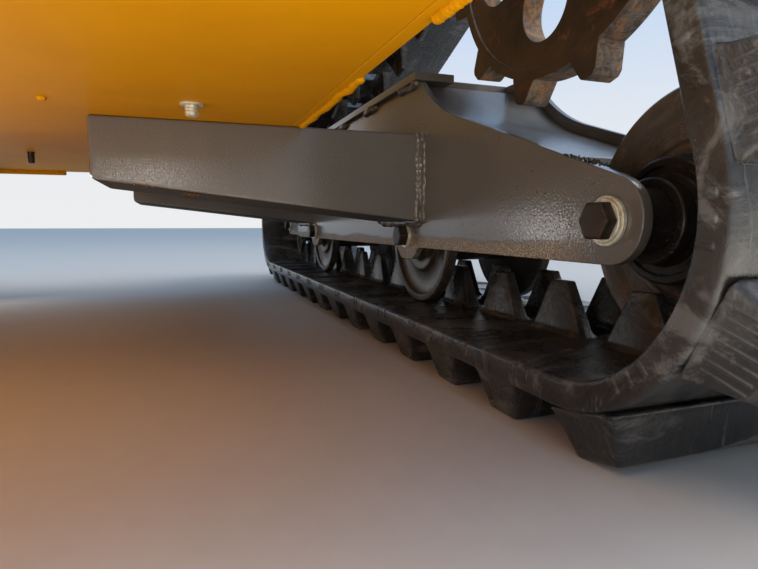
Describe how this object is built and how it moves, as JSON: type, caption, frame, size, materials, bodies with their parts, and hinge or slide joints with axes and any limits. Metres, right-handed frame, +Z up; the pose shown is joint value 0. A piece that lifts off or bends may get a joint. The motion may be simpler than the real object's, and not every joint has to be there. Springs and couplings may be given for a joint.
{
  "type": "tracked undercarriage",
  "caption": "Tracked undercarriage of a compact utility loader: lower frame, cross arms, and triangular rubber track units with raised drive sprockets.",
  "frame": {"origin": "on the floor, midway between the tracks and midway along their length", "axes": "+X forward towards the tension idlers, +Y to the machine's left, +Z up"},
  "size_m": [1.0988, 1.04, 0.5206],
  "materials": {
    "yellow_paint": "gloss paint",
    "grey_paint": "satin paint",
    "motor_paint": "satin paint",
    "wheel_paint": "worn satin paint",
    "sprocket_steel": "cut steel with thin rust",
    "axle_steel": "zinc plated",
    "track_rubber": "moulded"
  },
  "bodies": {
    "undercarriage": {"belly_plate": "yellow_paint", "rear_wall": "yellow_paint", "front_wall": "yellow_paint", "left_side_wall": "yellow_paint", "left_drive_motor": "motor_paint", "left_rear_arm": "grey_paint", "left_front_arm": "grey_paint", "left_inner_frame_plate": "grey_paint", "left_outer_frame_plate": "grey_paint", "left_frame_top_plate": "grey_paint", "left_rear_cover": "grey_paint", "left_front_cover": "grey_paint", "left_tension_stop": "grey_paint", "left_tensioner": "axle_steel", "left_tension_yoke": "grey_paint", "left_rear_idler_axle": "axle_steel", "left_front_idler_axle": "axle_steel", "left_road_rollers": "wheel_paint", "left_roller_axles": "axle_steel", "left_rubber_track": "track_rubber", "right_side_wall": "yellow_paint", "right_drive_motor": "motor_paint", "right_rear_arm": "grey_paint", "right_front_arm": "grey_paint", "right_inner_frame_plate": "grey_paint", "right_outer_frame_plate": "grey_paint", "right_frame_top_plate": "grey_paint", "right_rear_cover": "grey_paint", "right_front_cover": "grey_paint", "right_tension_stop": "grey_paint", "right_tensioner": "axle_steel", "right_tension_yoke": "grey_paint", "right_rear_idler_axle": "axle_steel", "right_front_idler_axle": "axle_steel", "right_road_rollers": "wheel_paint", "right_roller_axles": "axle_steel", "right_rubber_track": "track_rubber"},
    "left_rear_idler_wheel": {"left_rear_idler": "wheel_paint"},
    "left_front_idler_wheel": {"left_front_idler": "wheel_paint"},
    "left_sprocket_wheel": {"left_sprocket": "sprocket_steel", "left_sprocket_hub": "sprocket_steel"},
    "right_rear_idler_wheel": {"right_rear_idler": "wheel_paint"},
    "right_front_idler_wheel": {"right_front_idler": "wheel_paint"},
    "right_sprocket_wheel": {"right_sprocket": "sprocket_steel", "right_sprocket_hub": "sprocket_steel"}
  },
  "joints": [
    {"name": "left_rear_idler_spin", "type": "hinge", "parent": "undercarriage", "child": "left_rear_idler_wheel", "pos_m": [-0.43762, 0.42, 0.112], "axis": [0, 1, 0], "continuous": true},
    {"name": "left_front_idler_spin", "type": "hinge", "parent": "undercarriage", "child": "left_front_idler_wheel", "pos_m": [0.43221, 0.42, 0.112], "axis": [0, 1, 0], "continuous": true},
    {"name": "left_sprocket_spin", "type": "hinge", "parent": "undercarriage", "child": "left_sprocket_wheel", "pos_m": [-0.31112, 0.42, 0.3495], "axis": [0, 1, 0], "continuous": true},
    {"name": "right_rear_idler_spin", "type": "hinge", "parent": "undercarriage", "child": "right_rear_idler_wheel", "pos_m": [-0.43762, -0.42, 0.112], "axis": [0, 1, 0], "continuous": true},
    {"name": "right_front_idler_spin", "type": "hinge", "parent": "undercarriage", "child": "right_front_idler_wheel", "pos_m": [0.43221, -0.42, 0.112], "axis": [0, 1, 0], "continuous": true},
    {"name": "right_sprocket_spin", "type": "hinge", "parent": "undercarriage", "child": "right_sprocket_wheel", "pos_m": [-0.31112, -0.42, 0.3495], "axis": [0, 1, 0], "continuous": true}
  ]
}
